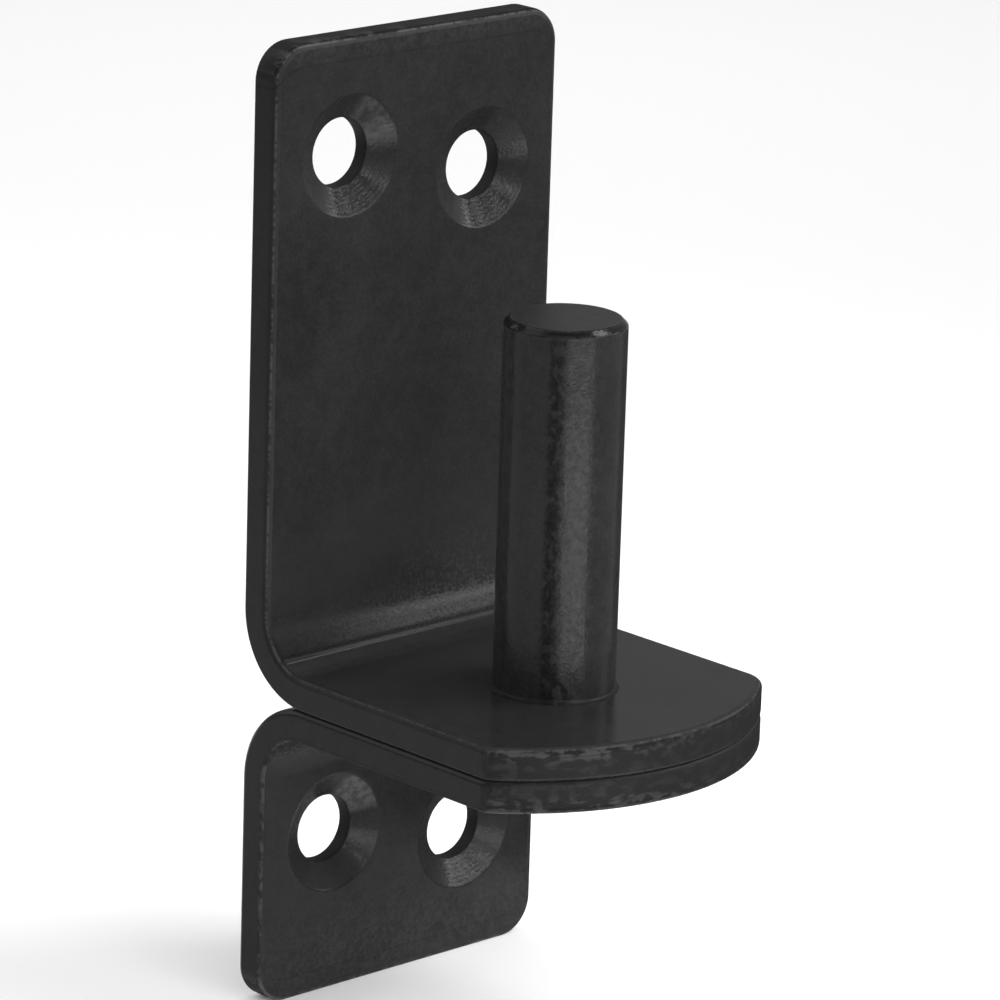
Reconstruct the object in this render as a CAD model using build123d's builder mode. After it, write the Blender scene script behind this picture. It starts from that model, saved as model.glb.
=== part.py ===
from build123d import *
import os

os.makedirs("parts", exist_ok=True)

# Gate hinge pin: two bent flat bars, one up the post and one down, held together by a riveted pin.
# Lengths are in millimetres. The origin is on the pin's axis, level with the top of the shelf.
# +Z is up and +Y runs into the post, so the legs are screwed on from the -Y side.

# The flat bar that both brackets are cut from
bar_width = 40.0
bar_thickness = 3.5
bend_inner_radius = 6.0

# Where the bar runs, from the pin's axis
pin_to_post = 26.8
shelf_reach = 19.7
shelf_side_reach = 11.1
shelf_corner_radius = 2.0

# The legs that stand against the post
upper_leg_height = 66.6
lower_leg_drop = 38.4
leg_corner_radius = 4.0

# The pin that the gate's band turns on
pin_diameter = 13.0
pin_length = 40.0
pin_chamfer = 0.65

# The spigot below it, peened over under the shelf
spigot_diameter = 10.0
spigot_clearance = 0.03
rivet_head_diameter = 14.0
rivet_head_height = 2.0

# Countersunk screw holes, a staggered pair in each leg
screw_hole_diameter = 7.4
countersink_diameter = 13.3
countersink_angle = 118.0
hole_pitch = 19.0
hole_stagger = 3.8
upper_hole_margin = 12.6
lower_hole_margin = 13.9

# Edges: the punch rolls one side over, and the other keeps a smaller round
punched_edge_radius = 0.8
burr_edge_radius = 0.3

# Levels and faces that follow
seam_level = -bar_thickness
shelf_underside = -2 * bar_thickness
leg_front = pin_to_post - bar_thickness
leg_screw_face = Plane(origin=(0, leg_front, 0), x_dir=(1, 0, 0), z_dir=(0, -1, 0))


def bent_bar(shelf_top, leg_end):
    """Side view of a bar that lies level under the pin and bends once to stand on the post."""
    shelf_middle = shelf_top - bar_thickness / 2
    leg_middle = pin_to_post - bar_thickness / 2
    with BuildSketch(Plane.YZ) as side_view:
        with BuildLine():
            FilletPolyline(
                (-shelf_reach, shelf_middle),
                (leg_middle, shelf_middle),
                (leg_middle, leg_end),
                radius=bend_inner_radius + bar_thickness / 2,
            )
        trace(line_width=bar_thickness)
    return side_view.sketch


def bar_footprint():
    """The bracket seen from above: straight sides, and a front end punched to an arc."""
    side = bar_width / 2
    with BuildSketch() as plan:
        with BuildLine():
            Polyline(
                (-side, -shelf_side_reach),
                (-side, pin_to_post),
                (side, pin_to_post),
                (side, -shelf_side_reach),
            )
            ThreePointArc((side, -shelf_side_reach), (0, -shelf_reach), (-side, -shelf_side_reach))
        make_face()
        fillet(plan.vertices().group_by(Axis.Y)[0], radius=shelf_corner_radius)
    return plan.sketch


def screw_places(left_level, right_level):
    """The staggered pair of screw holes, the left one first."""
    return [(-hole_pitch / 2, left_level), (hole_pitch / 2, right_level)]


# Upper bracket: the top layer of the shelf and the long leg above it
with BuildPart() as upper_bracket:
    extrude(bent_bar(0, upper_leg_height), amount=bar_width / 2, both=True)
    extrude(bar_footprint(), amount=upper_leg_height, both=True, mode=Mode.INTERSECT)
    fillet(upper_bracket.edges().filter_by(Axis.Y).group_by(Axis.Z)[-1], radius=leg_corner_radius)
    # The rounding runs on from the end of the leg along the whole rim of that side of the bar
    end_edges = upper_bracket.edges().filter_by(Axis.X).group_by(Axis.Z)[-1]
    fillet(end_edges.sort_by(Axis.Y)[0], radius=punched_edge_radius)
    end_edges = upper_bracket.edges().filter_by(Axis.X).group_by(Axis.Z)[-1]
    fillet(end_edges.sort_by(Axis.Y)[-1], radius=burr_edge_radius)
    upper_holes = upper_leg_height - upper_hole_margin
    with Locations(leg_screw_face):
        with Locations(*screw_places(upper_holes, upper_holes - hole_stagger)):
            CounterSinkHole(
                radius=screw_hole_diameter / 2,
                counter_sink_radius=countersink_diameter / 2,
                counter_sink_angle=countersink_angle,
            )
    Hole(radius=spigot_diameter / 2 + spigot_clearance)

# Lower bracket: the same bar turned over, with a short leg below the shelf
with BuildPart() as lower_bracket:
    extrude(bent_bar(seam_level, -lower_leg_drop), amount=bar_width / 2, both=True)
    extrude(bar_footprint(), amount=lower_leg_drop, both=True, mode=Mode.INTERSECT)
    fillet(lower_bracket.edges().filter_by(Axis.Y).group_by(Axis.Z)[0], radius=leg_corner_radius)
    # On this bracket the punched side is the one against the post
    end_edges = lower_bracket.edges().filter_by(Axis.X).group_by(Axis.Z)[0]
    fillet(end_edges.sort_by(Axis.Y)[-1], radius=punched_edge_radius)
    end_edges = lower_bracket.edges().filter_by(Axis.X).group_by(Axis.Z)[0]
    fillet(end_edges.sort_by(Axis.Y)[0], radius=burr_edge_radius)
    lower_holes = lower_hole_margin - lower_leg_drop
    with Locations(leg_screw_face):
        with Locations(*screw_places(lower_holes + hole_stagger, lower_holes)):
            CounterSinkHole(
                radius=screw_hole_diameter / 2,
                counter_sink_radius=countersink_diameter / 2,
                counter_sink_angle=countersink_angle,
            )
    Hole(radius=spigot_diameter / 2 + spigot_clearance)

# Hinge pin: turned from bar, with a chamfered top, a shoulder on the shelf and a peened end below
with BuildPart() as hinge_pin:
    pin_radius = pin_diameter / 2
    spigot_radius = spigot_diameter / 2
    head_bottom = shelf_underside - rivet_head_height
    with BuildSketch(Plane.XZ) as half_section:
        with BuildLine():
            Polyline(
                (0, head_bottom),
                (0, pin_length),
                (pin_radius - pin_chamfer, pin_length),
                (pin_radius, pin_length - pin_chamfer),
                (pin_radius, 0),
                (spigot_radius, 0),
                (spigot_radius, shelf_underside),
                (rivet_head_diameter / 2, shelf_underside),
            )
            TangentArc((0, head_bottom), (rivet_head_diameter / 2, shelf_underside), tangent=(1, 0))
        make_face()
    revolve(axis=Axis.Z)

upper_bracket.part.label = "upper_bracket"
lower_bracket.part.label = "lower_bracket"
hinge_pin.part.label = "hinge_pin"
export_step(upper_bracket.part, "parts/upper_bracket.step")
export_step(lower_bracket.part, "parts/lower_bracket.step")
export_step(hinge_pin.part, "parts/hinge_pin.step")
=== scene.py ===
import math

import bmesh
import bpy
from mathutils import Matrix, Vector


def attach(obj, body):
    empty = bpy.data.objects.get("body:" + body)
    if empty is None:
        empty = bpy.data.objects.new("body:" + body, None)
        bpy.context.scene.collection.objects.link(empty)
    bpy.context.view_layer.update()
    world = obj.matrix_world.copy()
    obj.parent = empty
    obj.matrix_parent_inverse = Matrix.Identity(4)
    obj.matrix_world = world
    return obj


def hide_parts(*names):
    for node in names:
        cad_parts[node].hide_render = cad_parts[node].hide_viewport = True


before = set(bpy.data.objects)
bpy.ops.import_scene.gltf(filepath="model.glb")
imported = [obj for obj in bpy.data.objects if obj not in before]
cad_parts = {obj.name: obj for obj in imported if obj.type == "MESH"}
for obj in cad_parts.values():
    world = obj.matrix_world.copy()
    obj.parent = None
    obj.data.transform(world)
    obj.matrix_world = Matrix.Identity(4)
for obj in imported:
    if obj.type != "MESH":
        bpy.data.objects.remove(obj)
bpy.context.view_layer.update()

# Upper bracket.
# A 40 x 3.5 mm flat steel bar, bent once to a right angle: the long leg stands against the post and
# the short one lies level, as the upper half of the shelf. It is cropped, drilled, countersunk and
# bent cold, and then coated black, which leaves the coat thin and scuffed along its edges. The
# lighter streaks along the edges are partly a painted highlight.
MM = 0.001
BAR_WIDE = 40 * MM
BAR_THICK = 3.5 * MM
BEND_INSIDE = 6 * MM
ROLLED_EDGE = 0.8 * MM
BROKEN_EDGE = 0.3 * MM
COAT_EDGE = 0.15 * MM
LEG_BACK = 26.8 * MM
LEG_FRONT = LEG_BACK - BAR_THICK
LEG_CORNER = 4 * MM
SHELF_TOP = 0
SHELF_FRONT = -19.7 * MM
SHELF_SIDE_END = -11.1 * MM
SHELF_LEFT_CORNER = 0.8 * MM
SHELF_RIGHT_CORNER = 1.4 * MM
FRONT_ARC = 27.556 * MM
ARC_SIDES = 104
HOLE_SIDES = 96
SPIGOT_HOLE = 5.03 * MM
SCREW_HOLE = 3.7 * MM
SCREW_SEAT = 6.65 * MM
SEAT_DEEP = 1.773 * MM
HOLE_ASIDE = 9.5 * MM
UPPER_LEG_END = 66.6 * MM
UPPER_HOLES = ((-HOLE_ASIDE, 54 * MM), (HOLE_ASIDE, 50.2 * MM))
TOOL_LONG = 20 * MM
TOOL_SPARE = 1 * MM
SAME_PLACE = 1e-6
MERGE_WITHIN = 1e-7


def fresh(add, **where):
    """Adds one primitive with nothing else selected, and gives its object."""
    bpy.ops.object.select_all(action="DESELECT")
    add(**where)
    return bpy.context.object


def take(piece):
    """Selects one piece and nothing else."""
    bpy.ops.object.select_all(action="DESELECT")
    piece.select_set(True)
    bpy.context.view_layer.objects.active = piece


def settle(piece):
    """Moves a piece's place and size into its mesh, so that its object sits at the origin."""
    take(piece)
    bpy.ops.object.transform_apply(location=True, rotation=True, scale=True)


def cut(piece, tool):
    """Takes the tool's shape out of the piece, and puts the tool away."""
    bite = piece.modifiers.new("cut", "BOOLEAN")
    bite.operation = "DIFFERENCE"
    bite.solver = "EXACT"
    bite.object = tool
    take(piece)
    bpy.ops.object.modifier_apply(modifier="cut")
    bpy.data.objects.remove(tool, do_unlink=True)


def pick_edges(piece, wanted):
    """In edit mode, selects the edges that pass the test, and nothing else."""
    bpy.ops.mesh.select_mode(type="EDGE")
    bpy.ops.mesh.select_all(action="DESELECT")
    mesh = bmesh.from_edit_mesh(piece.data)
    for edge in mesh.edges:
        if wanted(edge):
            edge.select_set(True)
    mesh.select_flush_mode()
    bmesh.update_edit_mesh(piece.data)


def middle(edge):
    """The point half way along an edge."""
    return (edge.verts[0].co + edge.verts[1].co) / 2


def is_corner(edge, sharper_than=60):
    """Whether the faces on the two sides of an edge meet at an angle above that many degrees."""
    return len(edge.link_faces) == 2 and edge.calc_face_angle() > math.radians(sharper_than)


def bent_bar(name, up, inner_level, leg_end, inner_rim, outer_rim):
    """A bracket without its holes. up is 1 or -1, the way that its leg goes from the shelf."""
    bend_level = inner_level + up * BEND_INSIDE
    bend_line = LEG_FRONT - BEND_INSIDE

    def depth(co):
        """How far below the inner face of the bar a point lies."""
        if up * (co.z - bend_level) > 0:
            return co.y - LEG_FRONT
        if co.y < bend_line:
            return up * (inner_level - co.z)
        return math.hypot(co.y - bend_line, co.z - bend_level) - BEND_INSIDE

    # The bar's end, drawn down the leg, round the bend and along the shelf
    bar = fresh(
        bpy.ops.mesh.primitive_plane_add, size=1, location=(0, LEG_BACK - BAR_THICK / 2, leg_end)
    )
    bar.name = name
    bar.scale = (BAR_WIDE, BAR_THICK, 1)
    settle(bar)
    bpy.ops.object.mode_set(mode="EDIT")
    bpy.ops.mesh.select_all(action="SELECT")
    bpy.ops.mesh.extrude_region_move(TRANSFORM_OT_translate={"value": (0, 0, bend_level - leg_end)})
    bpy.ops.mesh.spin(
        steps=24, angle=up * math.pi / 2, center=(0, bend_line, bend_level), axis=(1, 0, 0)
    )
    bpy.ops.mesh.extrude_region_move(
        TRANSFORM_OT_translate={"value": (0, SHELF_FRONT - bend_line, 0)}
    )
    bpy.ops.mesh.select_all(action="SELECT")
    bpy.ops.mesh.remove_doubles(threshold=MERGE_WITHIN)
    bpy.ops.mesh.normals_make_consistent(inside=False)
    bpy.ops.object.mode_set(mode="OBJECT")

    # The die that crops the front of the shelf to an arc. It is wider than the bar, and reaches from
    # well in front of the shelf to behind the ends of its straight sides
    die_front, die_back = -30 * MM, -5 * MM
    die = fresh(
        bpy.ops.mesh.primitive_cube_add, size=1,
        location=(0, (die_front + die_back) / 2, inner_level),
    )
    die.scale = (1.25 * BAR_WIDE, die_back - die_front, TOOL_LONG)
    settle(die)
    kept_disc = fresh(
        bpy.ops.mesh.primitive_cylinder_add, vertices=ARC_SIDES, radius=FRONT_ARC, depth=2 * TOOL_LONG,
        location=(0, SHELF_FRONT + FRONT_ARC, inner_level), rotation=(0, 0, math.pi / ARC_SIDES),
    )
    settle(kept_disc)
    cut(die, kept_disc)
    cut(bar, die)

    # The round corners of the leg's end, and the two crisp ones where the arc meets the sides
    bpy.ops.object.mode_set(mode="EDIT")
    pick_edges(bar, lambda e: abs(abs(middle(e).x) - BAR_WIDE / 2) < SAME_PLACE
               and all(abs(v.co.z - leg_end) < SAME_PLACE for v in e.verts))
    bpy.ops.mesh.bevel(offset=LEG_CORNER, segments=12, affect="EDGES")
    for side, corner in ((-1, SHELF_LEFT_CORNER), (1, SHELF_RIGHT_CORNER)):
        pick_edges(bar, lambda e: all(abs(side * v.co.x - BAR_WIDE / 2) < 0.02 * MM
                   and abs(v.co.y - SHELF_SIDE_END) < 0.2 * MM for v in e.verts))
        bpy.ops.mesh.bevel(offset=corner, segments=8, affect="EDGES")

    # The rims: the crop rolls one side's edge over, and tumbling breaks the other side's
    for rim, inner in ((inner_rim, True), (outer_rim, False)):
        pick_edges(bar, lambda e: is_corner(e) and (depth(middle(e)) < BAR_THICK / 2) == inner)
        bpy.ops.mesh.bevel(offset=rim, segments=5, affect="EDGES", clamp_overlap=False)
    bpy.ops.object.mode_set(mode="OBJECT")
    return bar


def bore_spigot_hole(bar):
    """Bores the round hole in the shelf that the pin's spigot is riveted through."""
    drill = fresh(
        bpy.ops.mesh.primitive_cylinder_add, vertices=HOLE_SIDES, radius=SPIGOT_HOLE, depth=TOOL_LONG
    )
    settle(drill)
    cut(bar, drill)


def bore_screw_hole(bar, x, z):
    """Bores a screw hole through the leg and countersinks it from the front."""
    bit = fresh(
        bpy.ops.mesh.primitive_circle_add, vertices=HOLE_SIDES, radius=SCREW_HOLE, fill_type="NGON",
        location=(x, LEG_BACK + TOOL_SPARE, z), rotation=(math.pi / 2, 0, 0),
    )
    settle(bit)
    bpy.ops.object.mode_set(mode="EDIT")
    bpy.ops.mesh.select_all(action="SELECT")
    # From the back of the leg to the front: a straight bore, the cone of the seat, and a wider end
    # that stands clear of the leg
    straight_bore = TOOL_SPARE + BAR_THICK - SEAT_DEEP
    for step, grow in ((straight_bore, 1), (SEAT_DEEP, SCREW_SEAT / SCREW_HOLE), (TOOL_SPARE, 1.25)):
        bpy.ops.mesh.extrude_region_move(TRANSFORM_OT_translate={"value": (0, -step, 0)})
        bpy.ops.transform.resize(value=(grow, 1, grow), center_override=(x, LEG_BACK, z))
    bpy.ops.mesh.select_all(action="SELECT")
    bpy.ops.mesh.normals_make_consistent(inside=False)
    bpy.ops.object.mode_set(mode="OBJECT")
    cut(bar, bit)

    # The coat rounds the hole's three edges a little
    take(bar)
    bpy.ops.object.mode_set(mode="EDIT")
    pick_edges(bar, lambda e: is_corner(e, sharper_than=20)
               and math.hypot(middle(e).x - x, middle(e).z - z) < SCREW_SEAT + 2 * COAT_EDGE)
    bpy.ops.mesh.bevel(offset=COAT_EDGE, segments=3, affect="EDGES", clamp_overlap=False)
    bpy.ops.object.mode_set(mode="OBJECT")


def shade(piece):
    """Shades a piece smooth across its rounded edges and keeps its flats flat."""
    take(piece)
    bpy.ops.object.shade_smooth_by_angle(angle=math.radians(30))
    flats = piece.modifiers.new("flats", "WEIGHTED_NORMAL")
    flats.keep_sharp = True
    bpy.ops.object.modifier_apply(modifier="flats")


upper = bent_bar("upper_bracket_bar", 1, SHELF_TOP, UPPER_LEG_END, ROLLED_EDGE, BROKEN_EDGE)
bore_spigot_hole(upper)
for x, z in UPPER_HOLES:
    bore_screw_hole(upper, x, z)
shade(upper)


# The coats are drawn with node sums in millimetres. Each helper works in the node tree of the
# sockets that it is given.
def tree_of(*values):
    """The node tree of the first socket among the values."""
    return next(value.id_data for value in values if isinstance(value, bpy.types.NodeSocket))


def feed(socket, value):
    """Links a socket to another node's output, or sets it to a plain value."""
    if isinstance(value, bpy.types.NodeSocket):
        socket.id_data.links.new(value, socket)
    else:
        socket.default_value = value


def calc(how, *values):
    """One Math node."""
    node = tree_of(*values).nodes.new("ShaderNodeMath")
    node.operation = how
    for socket, value in zip(node.inputs, values):
        feed(socket, value)
    return node.outputs[0]


def plus(first, *others):
    """The sum of the values."""
    for other in others:
        first = calc("ADD", first, other)
    return first


def times(first, *others):
    """The product of the values."""
    for other in others:
        first = calc("MULTIPLY", first, other)
    return first


def minus(first, other):
    """The first value less the other."""
    return calc("SUBTRACT", first, other)


def most(first, other):
    """The larger of two values."""
    return calc("MAXIMUM", first, other)


def least(first, other):
    """The smaller of two values."""
    return calc("MINIMUM", first, other)


def unsigned(value):
    """The value without its sign."""
    return calc("ABSOLUTE", value)


def length(a, b):
    """The length of the slope over two sides at right angles."""
    return calc("SQRT", plus(times(a, a), times(b, b)))


def split(vector):
    """The X, Y and Z of a vector."""
    node = tree_of(vector).nodes.new("ShaderNodeSeparateXYZ")
    feed(node.inputs[0], vector)
    return node.outputs


def span(value, low, high, out_low=0.0, out_high=1.0):
    """Carries a value smoothly from one range to another, and stops at its ends."""
    node = tree_of(value).nodes.new("ShaderNodeMapRange")
    node.interpolation_type = "SMOOTHSTEP"
    for socket, setting in zip(node.inputs, (value, low, high, out_low, out_high)):
        feed(socket, setting)
    return node.outputs[0]


def fades(value, low, high):
    """1 up to the low value, 0 from the high one, and smooth between them."""
    return span(value, low, high, 1.0, 0.0)


def line(value, at, half):
    """1 where the value is at that number, and 0 from half the line's width away."""
    return fades(unsigned(minus(value, at)), 0.0, half)


def grain(place, size, detail=2.0, stretch=(1, 1, 1)):
    """Noise whose lumps are about that many millimetres across, with 0.5 as its middle."""
    tree = tree_of(place)
    turn = tree.nodes.new("ShaderNodeMapping")
    turn.inputs["Scale"].default_value = [s / size for s in stretch]
    feed(turn.inputs["Vector"], place)
    node = tree.nodes.new("ShaderNodeTexNoise")
    node.inputs["Scale"].default_value = 1
    node.inputs["Detail"].default_value = detail
    feed(node.inputs["Vector"], turn.outputs[0])
    return node.outputs["Fac"]


def rings(radius, apart, tall):
    """The relief of fine turned rings, that many millimetres apart."""
    return times(calc("SINE", times(radius, 2 * math.pi / apart)), tall)


# Where a Mix node keeps its two colours and its mixed one
UNDER, OVER, MIXED = 6, 7, 2


def lay(colour, *layers):
    """Lays greys over a colour in turn. A layer is where it lies, how strongly, and its tone."""
    for where, strength, tone in layers:
        share = times(where, strength)
        node = tree_of(share).nodes.new("ShaderNodeMix")
        node.data_type = "RGBA"
        feed(node.inputs["Factor"], share)
        feed(node.inputs[UNDER], colour)
        feed(node.inputs[OVER], (tone, tone, tone * 1.01, 1))
        colour = node.outputs[MIXED]
    return colour


FLOAT, COLOUR, VECTOR = "NodeSocketFloat", "NodeSocketColor", "NodeSocketVector"


def new_group(name, wants, gives):
    """A node group with named inputs and outputs. Gives its tree, its inputs and its outputs."""
    tree = bpy.data.node_groups.new(name, "ShaderNodeTree")
    for label, kind in wants:
        tree.interface.new_socket(label, in_out="INPUT", socket_type=kind)
    for label, kind in gives:
        tree.interface.new_socket(label, in_out="OUTPUT", socket_type=kind)
    taken = tree.nodes.new("NodeGroupInput").outputs
    given = tree.nodes.new("NodeGroupOutput").inputs
    return tree, taken, given


def use_group(group, **values):
    """Places a group beside the sockets that feed it, and gives its outputs."""
    node = tree_of(*values.values()).nodes.new("ShaderNodeGroup")
    node.node_tree = group
    for label, value in values.items():
        feed(node.inputs[label.replace("_", " ")], value)
    return node.outputs


# The coat itself, on all three pieces: a sprayed and baked film with a slow drift in tone, small
# mottles, and a fine grain that breaks up its highlights
coat_skin, want, give = new_group(
    "sprayed_black_film",
    (("Place", VECTOR), ("Tone", FLOAT), ("Gloss", FLOAT), ("Pebble", FLOAT)),
    (("Colour", COLOUR), ("Roughness", FLOAT), ("Height", FLOAT)),
)
drift = grain(want["Place"], 11, 3)
mottle = grain(want["Place"], 1.6, 3)
fine = grain(want["Place"], 0.33, 1)
uneven = plus(span(drift, 0.3, 0.7, 0.9, 1.1), span(mottle, 0.3, 0.7, -0.08, 0.08),
              span(fine, 0.25, 0.75, -0.12, 0.12))
tone = times(uneven, want["Tone"])
black = coat_skin.nodes.new("ShaderNodeCombineColor")
for channel in ("Red", "Green", "Blue"):
    feed(black.inputs[channel], tone)
feed(give["Colour"], black.outputs[0])
feed(give["Roughness"], plus(want["Gloss"], span(mottle, 0.3, 0.7, -0.02, 0.02)))
lumps = plus(times(minus(mottle, 0.5), 0.6), minus(fine, 0.5))
feed(give["Height"], times(lumps, want["Pebble"]))

# Where a point lies on a bent bar: its depth below the inner face, its distance in from the cut
# outline, the way round the bend, and its distance from the line that the crop leaves near the end.
# That line turns its own round corners, a little below the leg's and wider. All in millimetres
HALF_WIDE = BAR_WIDE / MM / 2
THICK = BAR_THICK / MM
LIP_BELOW = 3.4
LIP_CORNER = 5.0

bar_gauge, want, give = new_group(
    "bent_bar_gauge",
    (("Place", VECTOR), ("Up", FLOAT), ("Inner Level", FLOAT), ("Leg End", FLOAT)),
    (("Depth", FLOAT), ("Outline", FLOAT), ("Bend", FLOAT), ("Lip", FLOAT)),
)


def corner_distance(a, b):
    """How far a point is from the centre of a quarter-round corner, taken square on its flanks."""
    return plus(length(most(a, 0.0), most(b, 0.0)), least(most(a, b), 0.0))


side, out, level = split(want["Place"])
bend_inside, leg_corner = BEND_INSIDE / MM, LEG_CORNER / MM
past_bend = minus(out, LEG_FRONT / MM - bend_inside)
below_bend = minus(bend_inside, times(minus(level, want["Inner Level"]), want["Up"]))
feed(give["Depth"], minus(corner_distance(past_bend, below_bend), bend_inside))
turned = calc("ARCTAN2", most(below_bend, 0.0), most(past_bend, 0.001))
feed(give["Bend"], times(turned, bend_inside))
from_side = minus(unsigned(side), HALF_WIDE - leg_corner)
from_end = minus(times(level, want["Up"]), minus(want["Leg End"], leg_corner))
leg_edge = minus(leg_corner, corner_distance(from_side, from_end))
from_arc_centre = minus(least(out, 0.0), (SHELF_FRONT + FRONT_ARC) / MM)
shelf_edge = minus(FRONT_ARC / MM, length(side, from_arc_centre))
feed(give["Outline"], least(leg_edge, shelf_edge))
feed(give["Lip"], minus(corner_distance(from_side, plus(from_end, LIP_BELOW)), LIP_CORNER))

# Wear along an edge: the coat is drawn thin there and rubs to a dull grey in broken streaks, which
# also stand in as a painted highlight along the edge
worn_edge_and_sheen, want, give = new_group(
    "coat_rubbed_and_highlit_on_edges",
    (("Place", VECTOR), ("Distance", FLOAT), ("Reach", FLOAT), ("Gaps", FLOAT)),
    (("Rubbed_And_Highlit", FLOAT),),
)
near = fades(calc("DIVIDE", want["Distance"], want["Reach"]), 0.45, 1.0)
pattern = plus(times(grain(want["Place"], 0.55, 3), 0.6), times(grain(want["Place"], 7, 2), 0.4))
feed(give["Rubbed_And_Highlit"], times(near, span(minus(pattern, want["Gaps"]), -0.05, 0.05)))

# The countersinks: the cutter leaves fine rings on the cone, and the coat lies thin and uneven on
# its upper right, where its lighter patches are also a painted highlight, and dull on its left. The
# left hole of a pair is at negative X
screw_seat, want, give = new_group(
    "cutter_rings_in_screw_seats",
    (("Place", VECTOR), ("Left Level", FLOAT), ("Right Level", FLOAT),
     ("Left Wear", FLOAT), ("Right Wear", FLOAT), ("Left Foot Dull", FLOAT)),
    (("Seat", FLOAT), ("Wall", FLOAT), ("Dull", FLOAT), ("Patchy", FLOAT), ("Height", FLOAT)),
)
side, _, level = split(want["Place"])
on_right = calc("GREATER_THAN", side, 0.0)
on_left = minus(1.0, on_right)
across = plus(side, times(minus(on_left, on_right), HOLE_ASIDE / MM))
above = minus(level, plus(times(want["Left Level"], on_left), times(want["Right Level"], on_right)))
radius = length(across, above)
not_zero = most(radius, 0.1)
to_right = calc("DIVIDE", across, not_zero)
to_upper_right = calc("DIVIDE", plus(across, above), not_zero)
feed(give["Seat"], fades(radius, SCREW_SEAT / MM - 0.2, SCREW_SEAT / MM + 0.02))
feed(give["Wall"], fades(radius, SCREW_HOLE / MM, SCREW_HOLE / MM + 0.12))
dull_foot = times(want["Left Foot Dull"], on_left, fades(to_upper_right, -0.3, 0.1))
feed(give["Dull"], most(fades(to_right, -0.8, -0.2), dull_foot))
patch = grain(want["Place"], 0.8, 4)
seat_wear_and_highlight = plus(times(want["Left Wear"], on_left), times(want["Right Wear"], on_right))
# The upper right of each seat is lighter in patches: thin coat, and partly a painted highlight
thin_and_highlit_side = span(to_upper_right, 1.16, 1.36)
feed(give["Patchy"], times(span(patch, 0.3, 0.66, 0.35, 1.0), thin_and_highlit_side, seat_wear_and_highlight))
feed(give["Height"], plus(rings(radius, 0.42, 0.0012), times(minus(patch, 0.5), 0.008)))


def new_coat(name):
    """A new material, its shader, and the place on its piece in millimetres."""
    material = bpy.data.materials.new(name)
    material.use_nodes = True
    nodes = material.node_tree.nodes
    scale = nodes.new("ShaderNodeVectorMath")
    scale.operation = "SCALE"
    scale.inputs["Scale"].default_value = 1 / MM
    feed(scale.inputs[0], nodes.new("ShaderNodeTexCoord").outputs["Object"])
    return material, nodes["Principled BSDF"], scale.outputs[0]


def coat_shader(shader, colour, roughness, height):
    """Puts the finished colour, roughness and relief on a coat's shader."""
    shader.inputs["Specular IOR Level"].default_value = 0.1
    feed(shader.inputs["Base Color"], colour)
    feed(shader.inputs["Roughness"], roughness)
    relief = shader.id_data.nodes.new("ShaderNodeBump")
    relief.inputs["Strength"].default_value = 1
    relief.inputs["Distance"].default_value = MM
    feed(relief.inputs["Height"], height)
    feed(shader.inputs["Normal"], relief.outputs[0])


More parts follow.
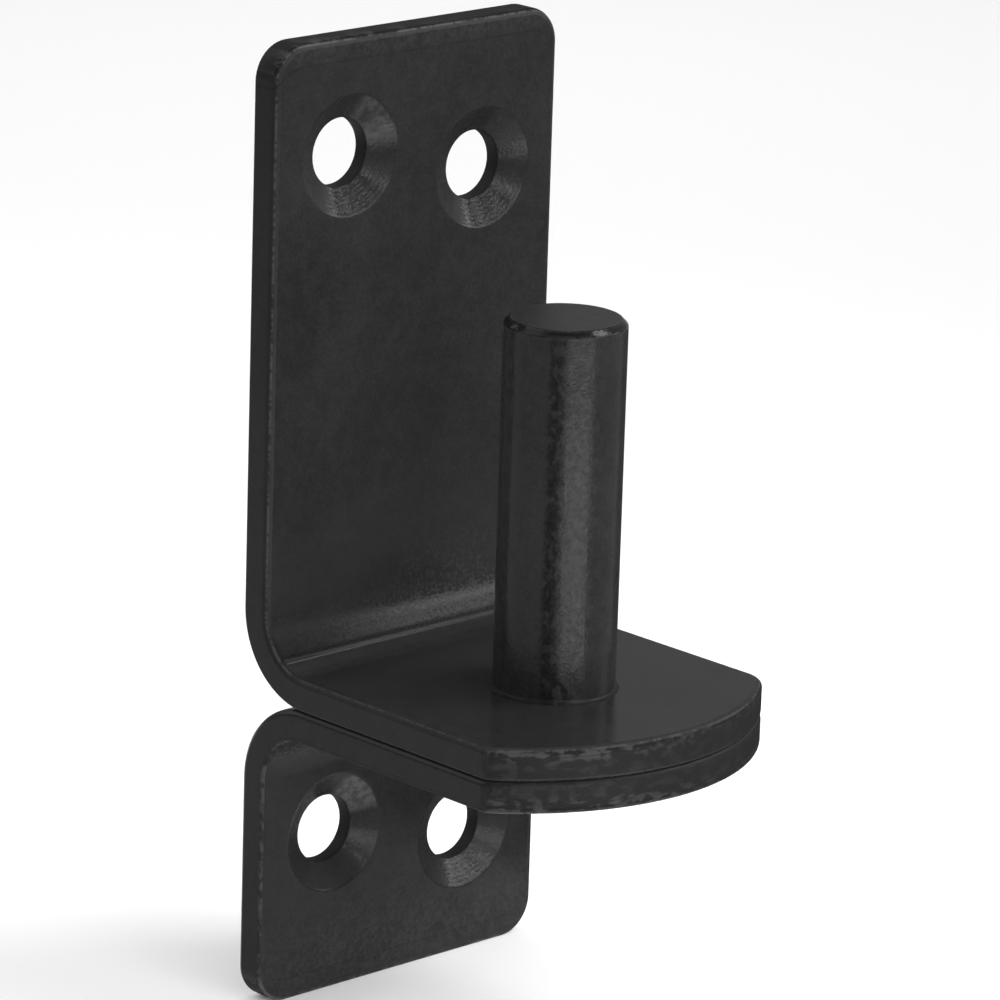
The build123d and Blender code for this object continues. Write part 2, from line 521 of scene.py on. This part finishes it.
def bracket_coat(name, up, inner_level, leg_end, holes, seat_wear_and_highlight, scuffed):
    """The coat on one bracket, with its worn edges, sheared ends, screw seats and bend marks, and its
    painted highlights, glints, light and shade. seat_wear_and_highlight is for the left seat and the
    right one, how strongly their thin coat and painted highlight show, and scuffed is how many
    millimetres of the leg's end are scuffed."""
    material, shader, place = new_coat(name)
    side, _, level = split(place)
    on_upper = float(up > 0)
    skin = use_group(coat_skin, Place=place, Tone=0.0158, Gloss=0.2, Pebble=0.016)
    gauge = use_group(
        bar_gauge, Place=place, Up=up, Inner_Level=inner_level / MM, Leg_End=abs(leg_end) / MM
    )
    depth, outline, bend, lip = gauge["Depth"], gauge["Outline"], gauge["Bend"], gauge["Lip"]
    seat = use_group(
        screw_seat, Place=place, Left_Level=holes[0][1] / MM, Right_Level=holes[1][1] / MM,
        Left_Wear=seat_wear_and_highlight[0], Right_Wear=seat_wear_and_highlight[1], Left_Foot_Dull=1 - on_upper,
    )

    # The arrises along the inner and the outer face, away from the bar's flanks
    on_flank = span(unsigned(side), HALF_WIDE - 0.35, HALF_WIDE - 0.1)
    off_flank = minus(1.0, on_flank)
    inner_arris, outer_arris = most(outline, depth), most(outline, minus(THICK, depth))
    inner_wear_and_sheen = use_group(worn_edge_and_sheen, Place=place, Distance=inner_arris, Reach=0.42, Gaps=0.5)
    outer_wear_and_sheen = use_group(worn_edge_and_sheen, Place=place, Distance=outer_arris, Reach=0.35, Gaps=0.54)
    # The rubbed edges are lighter from wear, and partly a painted highlight
    edge_wear_and_sheen = most(inner_wear_and_sheen["Rubbed_And_Highlit"], times(outer_wear_and_sheen["Rubbed_And_Highlit"], 0.4))
    edge_wear_and_sheen = times(edge_wear_and_sheen, most(fades(bend, 6.5, 8.5), times(off_flank, 0.5)))
    dull_edge = times(span(inner_arris, 0.4, 0.85, 0.3, 0.0), minus(1.0, edge_wear_and_sheen))

    # The sheared faces round the ends: torn in patches, with a wavy line under each rolled edge
    between_arrises = times(span(depth, 0.15, 0.4), fades(depth, THICK - 0.4, THICK - 0.15))
    on_rim = times(fades(outline, 0.3, 0.45), off_flank, between_arrises)
    wavy_depth = plus(depth, times(minus(grain(place, 3.5, 3), 0.5), 0.7))
    lines = times(most(line(wavy_depth, 0.95, 0.13), times(line(wavy_depth, 2.75, 0.1), 0.6)), on_rim)
    torn = times(
        span(grain(place, 1.5, 5, (1, 1, 2)), 0.46, 0.6), on_rim,
        span(side, -14, 8, 1.0, 0.2), span(depth, 0.6, 2.0, 1.0, 0.25),
    )

    # The crease that the punch presses along the bend, and the crop's line near the leg's end
    on_face = fades(unsigned(depth), 0.05, 0.12)

    def ridge(at, half, tall):
        """A low ridge across the bar, that far round the bend."""
        off = calc("DIVIDE", minus(bend, at), half)
        return times(calc("EXPONENT", times(off, off, -1.0)), tall)

    press_mark = times(plus(ridge(5.55, 0.38, 0.17), ridge(6.9, 0.3, 0.02)), on_face)
    # A thin darker line painted along the crop's line is painted shade at its step
    painted_lip_shade = line(lip, 0.0, 0.2)
    rolled = times(span(lip, -0.14, 0.14), -0.03)

    # The coat is scuffed to a mottle near the leg's end, and gritty in the bend, with bright specks
    # that crowd to the right, which are painted glints. On the upper bracket the leg is painted
    # lighter low down, as painted light, and the left of the bend is dull and painted darker, as
    # painted shade
    toward_end = times(level, up)
    rise = minus(toward_end, abs(inner_level) / MM)
    end = abs(leg_end) / MM
    mottled = times(
        span(toward_end, end - scuffed, end - scuffed * 0.3), on_face,
        span(grain(place, 0.5, 3), 0.4, 0.62),
    )
    in_bend = times(span(bend, 0.0, 4.0), fades(bend, 5.2, 6.0), on_face)
    # The left of the upper bend is painted darker, as painted shade, and is also dull
    dull_and_shaded_bend = times(in_bend, fades(side, -17, 4), on_upper)
    glint_zone = times(fades(rise, 3.0, 20), span(side, -17, 6), on_face, fades(bend, 5.0, 5.4))
    specks = grain(place, 0.34, 2)
    crowd = plus(specks, span(rise, 3.0, 16, 0.07, -0.05))
    painted_glints = times(glint_zone, glint_zone, span(crowd, 0.52, 0.68))
    # Low on the upper leg the coat is painted lighter: painted light
    painted_light_low_on_leg = times(fades(rise, 7, 22), on_face, span(rise, 3, 7, 0.25, 1.0), on_upper)
    grit = minus(grain(place, 0.36, 2), 0.5)
    gritty = times(span(specks, 0.4, 0.6, 0.0, 0.22), in_bend)

    # The seats' cones and the straight walls of the screw holes
    in_seat = times(seat["Seat"], span(depth, 0.05, 0.2), fades(depth, 1.7, 1.8))
    # The walls of the screw holes are painted darker: painted shade inside the bore
    in_hole = times(seat["Wall"], span(depth, 1.6, 1.8), fades(depth, THICK - 0.2, THICK - 0.05))
    seat_speckle = span(grain(place, 0.55, 3), 0.38, 0.62, -0.07, 0.06)

    colour = lay(
        skin["Colour"],
        (on_rim, 0.7, 0.004),
        (torn, 0.55, 0.055),
        (lines, 0.55, 0.008),
        (times(in_seat, seat["Patchy"]), 0.8, 0.07),
        (edge_wear_and_sheen, 0.75, 0.075),
        (painted_lip_shade, 0.3, 0.006),
        (mottled, 0.15, 0.05),
        (painted_light_low_on_leg, 0.4, 0.028),
        (dull_and_shaded_bend, 0.6, 0.005),
        (on_flank, 0.4, 0.006),
        (painted_glints, 0.4, 0.05),
        (in_hole, 0.8, 0.005),
    )
    roughness = plus(
        skin["Roughness"], times(edge_wear_and_sheen, -0.06), times(on_rim, 0.4), times(in_hole, 0.4), gritty,
        times(in_seat, seat_speckle), times(in_seat, seat["Dull"], 0.35), dull_edge,
        times(dull_and_shaded_bend, 0.34),
    )
    relief = plus(
        skin["Height"], times(seat["Height"], in_seat), press_mark, times(grit, in_bend, 0.035),
        times(grit, in_seat, 0.012), rolled, times(lines, -0.03), times(torn, 0.02),
    )
    coat_shader(shader, colour, roughness, relief)
    return material


def dress(piece, material):
    """Gives a piece its one material."""
    piece.data.materials.clear()
    piece.data.materials.append(material)


dress(upper, bracket_coat(
    "upper_bracket_coat", 1, SHELF_TOP, UPPER_LEG_END, UPPER_HOLES, seat_wear_and_highlight=(0.7, 0.12), scuffed=3
))
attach(upper, "root")
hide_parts("upper_bracket")

# Lower bracket.
# The same flat bar with a shorter leg, turned over so that its shelf lies flat under the upper one
# and its leg goes down the post. Its round corners and staggered screw holes match the upper leg's.
SHELF_UNDERSIDE = -7 * MM
LOWER_LEG_END = -38.4 * MM
LOWER_HOLES = ((-HOLE_ASIDE, -20.7 * MM), (HOLE_ASIDE, -24.5 * MM))

lower = bent_bar("lower_bracket_bar", -1, SHELF_UNDERSIDE, LOWER_LEG_END, BROKEN_EDGE, ROLLED_EDGE)
bore_spigot_hole(lower)
for x, z in LOWER_HOLES:
    bore_screw_hole(lower, x, z)
shade(lower)
# The lower seats' painted highlight is stronger, where the shelf above shades them
dress(lower, bracket_coat(
    "lower_bracket_coat", -1, SHELF_UNDERSIDE, LOWER_LEG_END, LOWER_HOLES,
    seat_wear_and_highlight=(1.4, 1.0), scuffed=12,
))
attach(lower, "root")
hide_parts("lower_bracket")

# Hinge pin.
# A 13 mm round steel pin, turned down at its foot to a spigot that goes through both shelves and is
# hammered over underneath, which holds the whole fitting together. The coat has pooled at its foot.
PIN_SIDES = 128
PIN_RADIUS = 6.5 * MM
PIN_TOP = 40 * MM
CHAMFER = 0.65 * MM
TOP_EDGE = 0.12 * MM
SPIGOT_RADIUS = 5 * MM
HEAD_RADIUS = 7 * MM
HEAD_TALL = 2 * MM
HEAD_SLOPES = (15, 30, 45, 60, 72, 82, 89)
POOLED_FOOT = ((0.5, 6.5), (0.3, 6.53), (0.16, 6.6), (0.06, 6.72), (0.0, 6.9))

pin = fresh(
    bpy.ops.mesh.primitive_circle_add, vertices=PIN_SIDES, radius=PIN_RADIUS - CHAMFER,
    fill_type="NGON", location=(0, 0, PIN_TOP),
)
pin.name = "turned_pin"
settle(pin)
bpy.ops.object.mode_set(mode="EDIT")
bpy.ops.mesh.select_all(action="SELECT")
# The turned outline from the top down, in levels and radii: the side, the coat that has pooled at
# its foot, the spigot, and the dome of the head
turns = [(PIN_TOP - CHAMFER, PIN_RADIUS)]
turns += [(z * MM, r * MM) for z, r in POOLED_FOOT]
turns += [(0, SPIGOT_RADIUS), (SHELF_UNDERSIDE, SPIGOT_RADIUS), (SHELF_UNDERSIDE, HEAD_RADIUS)]
for slope in map(math.radians, HEAD_SLOPES):
    turns.append((SHELF_UNDERSIDE - HEAD_TALL * math.sin(slope), HEAD_RADIUS * math.cos(slope)))
ring_level, ring = PIN_TOP, PIN_RADIUS - CHAMFER
for to_level, to_ring in turns:
    bpy.ops.mesh.extrude_region_move(TRANSFORM_OT_translate={"value": (0, 0, to_level - ring_level)})
    bpy.ops.transform.resize(value=(to_ring / ring, to_ring / ring, 1), center_override=(0, 0, 0))
    ring_level, ring = to_level, to_ring
bpy.ops.mesh.select_all(action="SELECT")
bpy.ops.mesh.normals_make_consistent(inside=False)
pick_edges(pin, lambda e: abs(e.verts[0].co.z - e.verts[1].co.z) < SAME_PLACE
           and middle(e).z > PIN_TOP - 2 * CHAMFER)
bpy.ops.mesh.bevel(offset=TOP_EDGE, segments=3, affect="EDGES")
bpy.ops.object.mode_set(mode="OBJECT")
shade(pin)

pin_coat, shader, place = new_coat("pin_coat")
skin = use_group(coat_skin, Place=place, Tone=0.0165, Gloss=0.17, Pebble=0.024)
px, py, pz = split(place)
radius = length(px, py)
pin_radius, pin_top, chamfer = PIN_RADIUS / MM, PIN_TOP / MM, CHAMFER / MM
on_side = span(radius, pin_radius - 0.05, pin_radius - 0.02)

# The end of the pin is faced off in a lathe, and its side is drawn bar with faint lines along it
on_end = span(pz, pin_top - 0.02, pin_top - 0.005)
facing = rings(radius, 0.5, 0.002)
drawn = times(minus(grain(place, 0.5, 3, (1, 1, 0.03)), 0.5), 0.012)

# The coat is rubbed on the chamfer's two edges, which are partly a painted highlight, and the
# chamfer between them is painted dark, a painted reflection of the dark sky overhead
chamfer_edge = length(minus(radius, pin_radius - chamfer), minus(pz, pin_top))
shoulder_edge = length(minus(radius, pin_radius), minus(pz, pin_top - chamfer))
top_wear_and_sheen = use_group(
    worn_edge_and_sheen, Place=place, Distance=least(chamfer_edge, shoulder_edge), Reach=0.4, Gaps=0.48
)["Rubbed_And_Highlit"]
chamfer_line = pin_radius - chamfer + pin_top
on_chamfer = span(plus(radius, pz), chamfer_line - 0.15, chamfer_line - 0.03)

# The corner at the foot, where the coat has pooled, is painted darker: painted shade
painted_foot_shade = times(fades(pz, 0.5, 2.2), span(pz, -0.1, 0.05))
at_foot = times(fades(pz, 0.05, 0.5), span(pz, -0.1, -0.05))

# Facing the front left, the pin's side carries a narrow dark streak, a painted reflection, and a
# painted highlight beside it, both with ragged edges, and its left edge is painted lighter as painted
# light. Seen from there, AHEAD is the way across the pin to its far side, and side_on is how far to
# the right of its axis a point lies, with a ragged edge
AHEAD_X, AHEAD_Y = 0.689, 0.725
ragged_noise = grain(place, 0.75, 4, (1, 1, 0.7))
side_on = plus(times(px, AHEAD_Y), times(py, -AHEAD_X), times(minus(ragged_noise, 0.5), 2.2))
is_front = calc("LESS_THAN", plus(times(px, AHEAD_X), times(py, AHEAD_Y)), 0)
facing_front = times(is_front, on_side)
widened_low = minus(side_on, span(pz, 1.2, 4.2, 1.5, 0.0))
painted_dark_streak = times(
    span(side_on, -1.9, -1.3), fades(widened_low, -0.5, 0.1), facing_front, fades(ragged_noise, 0.46, 0.62)
)
painted_bright_streak = times(
    span(side_on, -0.3, 0.6), fades(side_on, 2.6, 3.6), facing_front, span(ragged_noise, 0.46, 0.6)
)
streak_gloss = times(
    span(grain(place, 0.6, 3), 0.36, 0.64, 0.0, 0.16), fades(unsigned(side_on), 3.2, 4.6),
    facing_front,
)
# The pin's left edge, seen from the front left, is painted lighter: painted light
painted_light_left_edge = times(fades(side_on, -6.2, -5.0), on_side)

# The head underneath shows the flats of the hammer
flats = pin_coat.node_tree.nodes.new("ShaderNodeTexVoronoi")
flats.feature = "SMOOTH_F1"
flats.inputs["Scale"].default_value = 0.55
feed(flats.inputs["Vector"], place)
head_top = SHELF_UNDERSIDE / MM
hammered = times(flats.outputs["Distance"], fades(pz, head_top - 0.1, head_top), 0.16)

colour = lay(
    skin["Colour"],
    (painted_foot_shade, 0.15, 0.009),
    (at_foot, 0.8, 0.005),
    (painted_dark_streak, 0.65, 0.003),
    (painted_bright_streak, 0.22, 0.045),
    (painted_light_left_edge, 0.5, 0.035),
    (on_chamfer, 0.75, 0.004),
    (top_wear_and_sheen, 0.1, 0.07),
)
roughness = plus(skin["Roughness"], times(on_end, 0.2), times(at_foot, 0.35), streak_gloss)
height = plus(
    skin["Height"], times(facing, on_end), times(drawn, on_side),
    times(minus(ragged_noise, 0.5), on_side, 0.016), hammered,
)
coat_shader(shader, colour, roughness, height)
dress(pin, pin_coat)
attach(pin, "root")
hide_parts("hinge_pin")

# Floor and light.
# The fitting stands on a wide sheet of white card in soft daylight from the back left and the front
# left. Four soft boxes stand in an arc in front, a small one high on the right, and a low strip in
# front draws the bright line on the pin. One more box lights the white card behind. Two black cards
# and a grey one are seen only in the fitting's gloss, and keep its dark sides dark.
floor = fresh(bpy.ops.mesh.primitive_plane_add, size=12, location=(0, 0, LOWER_LEG_END))
floor.name = "floor"


def new_card(name, tone, roughness, shine=0.5):
    """A plain grey material for the floor and the cards."""
    card = bpy.data.materials.new(name)
    card.use_nodes = True
    surface = card.node_tree.nodes["Principled BSDF"].inputs
    surface["Base Color"].default_value = (tone, tone, tone, 1)
    surface["Roughness"].default_value = roughness
    surface["Specular IOR Level"].default_value = shine
    return card


dress(floor, new_card("white_card", 0.95, 0.9, shine=0))

# The sky is dim at the horizon, brighter half way up and dark again overhead
world = bpy.data.worlds.new("studio")
bpy.context.scene.world = world
world.use_nodes = True
background = world.node_tree.nodes["Background"]
upward = split(world.node_tree.nodes.new("ShaderNodeTexCoord").outputs["Generated"])["Z"]
glow = minus(span(upward, 0.28, 0.65, 0.33, 0.55), span(upward, 0.75, 0.97, 0.0, 0.5))
feed(background.inputs["Strength"], glow)
background.inputs["Color"].default_value = (1, 1, 1, 1)


def hang(name, lamp_or_lens):
    """Puts a lamp or the camera in the scene."""
    holder = bpy.data.objects.new(name, lamp_or_lens)
    bpy.context.scene.collection.objects.link(holder)
    return holder


def soft_box(name, place, aim, size, brightness, spread=180):
    """A soft box that stands at a place and faces a point. Its face shines with that brightness,
    and a grid on it keeps its light within the spread, in degrees."""
    light = bpy.data.lights.new(name, "AREA")
    light.shape = "RECTANGLE"
    light.size, light.size_y = size
    half = math.radians(spread) / 2
    light.spread = 2 * half
    kept_light = math.sin(half) ** 2 - (half - math.sin(2 * half) / 2) / math.tan(half)
    light.energy = brightness * math.pi * light.size * light.size_y * kept_light
    holder = hang(name, light)
    holder.location = place
    holder.rotation_euler = (Vector(place) - Vector(aim)).to_track_quat("Z", "Y").to_euler()
    holder.visible_camera = False
    return holder


def daylight(name, toward, wide, power):
    """Soft light from one side of the sky, as wide in the sky as the angle given."""
    light = bpy.data.lights.new(name, "SUN")
    light.angle = math.radians(wide)
    light.energy = power
    hang(name, light).rotation_euler = Vector(toward).to_track_quat("Z", "Y").to_euler()


# Where the lamps point, the middle of the lit card behind, and how far round to the right and how
# high each of the four boxes in front stands, in degrees
AIM = Vector((0, 0, 0.01))
CARD_BEHIND = Vector((0.26, 0.275, 0))
KEY_BOXES = ((0, 22), (20, 31), (42, 30), (62, 22))


def away(direction, distance):
    """The point at a distance in a direction from the fitting."""
    return AIM + Vector(direction).normalized() * distance


daylight("window_behind", (-0.42, 0.62, 0.66), wide=60, power=1.15)
daylight("fill_front_left", (-0.5, -0.75, 0.35), wide=50, power=0.62)
for number, (turn, climb) in enumerate(KEY_BOXES, 1):
    turn, climb = math.radians(turn), math.radians(climb)
    toward = (math.sin(turn) * math.cos(climb), -math.cos(turn) * math.cos(climb), math.sin(climb))
    soft_box(f"key_{number}", away(toward, 0.55), AIM, (0.2, 0.12), brightness=11, spread=60)
high_right = away((0.5, -0.35, 0.79), 0.5)
soft_box("top_right_box", high_right, AIM, (0.16, 0.16), brightness=16, spread=60)
soft_box("low_strip", (-0.030, -0.120, -0.016), (0, 0, 0), (0.11, 0.044), brightness=5.3)
overhead = CARD_BEHIND + Vector((0, 0, 0.9))
floor_box = soft_box("floor_box", overhead, CARD_BEHIND, (0.6, 0.75), brightness=8, spread=40)
floor_box.rotation_euler = (0, 0, math.radians(-43.5))

black_card = new_card("dark_card", 0.005, 1)
grey_card = new_card("grey_card", 0.35, 1)
JUST_OFF_FLOOR = LOWER_LEG_END + 1 * MM
for name, place, size, turned, card in (
    ("dark_card_left", (-0.088, -0.047, -0.0135), (0.034, 0.048), (90, 0, -62), black_card),
    ("dark_card_right", (0.24, 0.165, JUST_OFF_FLOOR), (0.42, 0.37), (0, 0, 0), black_card),
    ("grey_card_front", (0.2, -0.16, JUST_OFF_FLOOR), (0.34, 0.28), (0, 0, 0), grey_card),
):
    flag = fresh(bpy.ops.mesh.primitive_plane_add, size=1, location=place)
    flag.name = name
    flag.scale = (*size, 1)
    flag.rotation_euler = [math.radians(angle) for angle in turned]
    settle(flag)
    dress(flag, card)
    flag.visible_camera = False
    flag.visible_diffuse = False
    flag.visible_shadow = False

# Camera.
# A long lens from the front left, a little above, as in the photograph.
PICTURE = 1000
FOCAL_LENGTH = 6051.089
CENTRE_X, CENTRE_Y = 499.773, 502.201
LOOKS_AT = Vector((-8.644, 0, 21.555)) * MM
FROM_THERE = 624.724 * MM

lens = bpy.data.cameras.new("camera")
lens.sensor_width = 36
lens.lens = lens.sensor_width * FOCAL_LENGTH / PICTURE
lens.shift_x = (PICTURE / 2 - CENTRE_X) / PICTURE
lens.shift_y = (CENTRE_Y - PICTURE / 2) / PICTURE
lens.clip_start, lens.clip_end = 0.05, 50
camera = hang("camera", lens)
azimuth, elevation, roll = map(math.radians, (-43.544, 16.065, 1.796))
ahead = Vector((
    -math.sin(azimuth) * math.cos(elevation),
    math.cos(azimuth) * math.cos(elevation),
    -math.sin(elevation),
))
right = ahead.cross(Vector((0, 0, 1))).normalized()
over = right.cross(ahead)
right, over = (
    math.cos(roll) * right + math.sin(roll) * over,
    math.cos(roll) * over - math.sin(roll) * right,
)
facing_ahead = Matrix((right, over, -ahead)).transposed().to_4x4()
camera.matrix_world = Matrix.Translation(LOOKS_AT - ahead * FROM_THERE) @ facing_ahead
bpy.context.scene.camera = camera
bpy.context.scene.view_settings.view_transform = "Standard"
